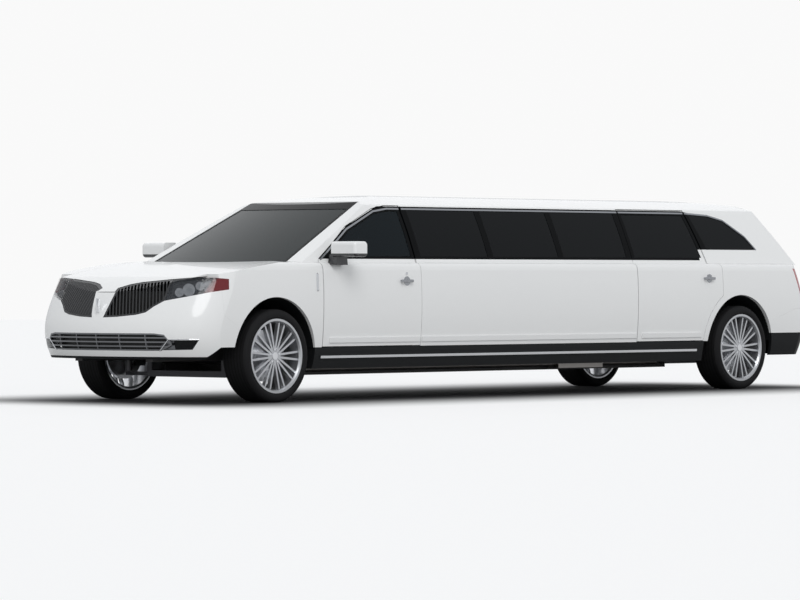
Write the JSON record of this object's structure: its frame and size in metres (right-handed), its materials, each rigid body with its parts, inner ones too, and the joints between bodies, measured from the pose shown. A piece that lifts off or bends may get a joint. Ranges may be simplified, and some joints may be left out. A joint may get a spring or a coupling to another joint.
{
  "type": "car_stretch_limousine",
  "caption": "Stretched passenger car with raked glass, four hinged doors, a lifting hood and tailgate, a long lounge cabin and steered front wheels on alloy rims",
  "frame": {"origin": "bottom_center of the bounding box", "axes": "+X = forward along the car; +Y = towards its left side; +Z = up"},
  "size_m": [8.3214, 2.43, 1.6879],
  "materials": {
    "body_paint": "gloss",
    "black_plastic": "matte",
    "tinted_glass": "gloss",
    "lamp_lens": "gloss",
    "tail_lens": "gloss",
    "wheel_silver": "satin",
    "tyre": "matte",
    "seat_leather": "satin",
    "cabin_trim": "matte",
    "cast_metal": "matte",
    "frame_paint": "satin",
    "exhaust_steel": "satin"
  },
  "bodies": {
    "body": {"front_fenders": "body_paint", "cowl_panel": "black_plastic", "front_bumper": "body_paint", "lower_grille": "black_plastic", "grille_wings": "black_plastic", "headlamps": "lamp_lens", "bulkhead": "black_plastic", "roof_frame": "body_paint", "windshield": "tinted_glass", "side_glass": "tinted_glass", "stretch_panels": "body_paint", "quarter_panels": "body_paint", "tail_lamps": "tail_lens", "rear_bumper": "body_paint", "sill_claddings": "black_plastic", "front_suspension": "cast_metal", "rear_axle": "cast_metal", "underframe": "frame_paint", "floor_pan": "cabin_trim", "wheel_liners": "black_plastic", "dashboard": "cabin_trim", "steering_wheel": "cabin_trim", "seat_bases": "cabin_trim", "front_cushions": "seat_leather", "lounge_seat": "seat_leather", "lounge_back": "seat_leather", "rear_seat": "seat_leather", "rear_back": "seat_leather", "bar_console": "cabin_trim", "partition": "cabin_trim", "partition_frame": "cabin_trim", "engine": "cast_metal", "fuel_tank": "frame_paint", "exhaust": "exhaust_steel"},
    "hood": {"hood": "body_paint"},
    "liftgate": {"liftgate": "body_paint", "liftgate_glass": "tinted_glass"},
    "front_left_door": {"front_left_door": "body_paint", "front_left_glass": "tinted_glass", "left_mirror": "body_paint"},
    "front_right_door": {"front_right_door": "body_paint", "front_right_glass": "tinted_glass", "right_mirror": "body_paint"},
    "rear_left_door": {"rear_left_door": "body_paint", "rear_left_glass": "tinted_glass"},
    "rear_right_door": {"rear_right_door": "body_paint", "rear_right_glass": "tinted_glass"},
    "left_knuckle": {"left_knuckle": "cast_metal"},
    "right_knuckle": {"right_knuckle": "cast_metal"},
    "front_left_wheel": {"front_left_rim": "wheel_silver", "front_left_tyre": "tyre"},
    "front_right_wheel": {"front_right_rim": "wheel_silver", "front_right_tyre": "tyre"},
    "rear_left_wheel": {"rear_left_rim": "wheel_silver", "rear_left_tyre": "tyre"},
    "rear_right_wheel": {"rear_right_rim": "wheel_silver", "rear_right_tyre": "tyre"}
  },
  "joints": [
    {"name": "hood_hinge", "type": "hinge", "parent": "body", "child": "hood", "pos_m": [2.8305, 0, 1.048], "axis": [0, -1, 0], "range_deg": [0, 25]},
    {"name": "liftgate_hinge", "type": "hinge", "parent": "body", "child": "liftgate", "pos_m": [-3.405, 0, 1.6328], "axis": [0, 1, 0], "range_deg": [0, 80]},
    {"name": "front_left_door_hinge", "type": "hinge", "parent": "body", "child": "front_left_door", "pos_m": [2.56775, 0.938, 0.82], "axis": [0, 0, -1], "range_deg": [0, 65]},
    {"name": "front_right_door_hinge", "type": "hinge", "parent": "body", "child": "front_right_door", "pos_m": [2.56775, -0.938, 0.82], "axis": [0, 0, 1], "range_deg": [0, 65]},
    {"name": "rear_left_door_hinge", "type": "hinge", "parent": "body", "child": "rear_left_door", "pos_m": [-1.46025, 0.938, 0.82], "axis": [0, 0, -1], "range_deg": [0, 65]},
    {"name": "rear_right_door_hinge", "type": "hinge", "parent": "body", "child": "rear_right_door", "pos_m": [-1.46025, -0.938, 0.82], "axis": [0, 0, 1], "range_deg": [0, 65]},
    {"name": "left_steering", "type": "hinge", "parent": "body", "child": "left_knuckle", "pos_m": [3.0755, 0.722, 0.372], "axis": [0, 0, 1], "range_deg": [-33, 33]},
    {"name": "right_steering", "type": "hinge", "parent": "body", "child": "right_knuckle", "pos_m": [3.0755, -0.722, 0.372], "axis": [0, 0, 1], "range_deg": [-33, 33]},
    {"name": "front_left_roll", "type": "hinge", "parent": "left_knuckle", "child": "front_left_wheel", "pos_m": [3.0755, 0.828, 0.372], "axis": [0, 1, 0], "continuous": true},
    {"name": "front_right_roll", "type": "hinge", "parent": "right_knuckle", "child": "front_right_wheel", "pos_m": [3.0755, -0.828, 0.372], "axis": [0, 1, 0], "continuous": true},
    {"name": "rear_left_roll", "type": "hinge", "parent": "body", "child": "rear_left_wheel", "pos_m": [-2.9675, 0.8255, 0.372], "axis": [0, 1, 0], "continuous": true},
    {"name": "rear_right_roll", "type": "hinge", "parent": "body", "child": "rear_right_wheel", "pos_m": [-2.9675, -0.8255, 0.372], "axis": [0, 1, 0], "continuous": true}
  ],
  "couplings": [
    {"joint": "right_steering", "follows": "left_steering", "ratio": 1}
  ]
}
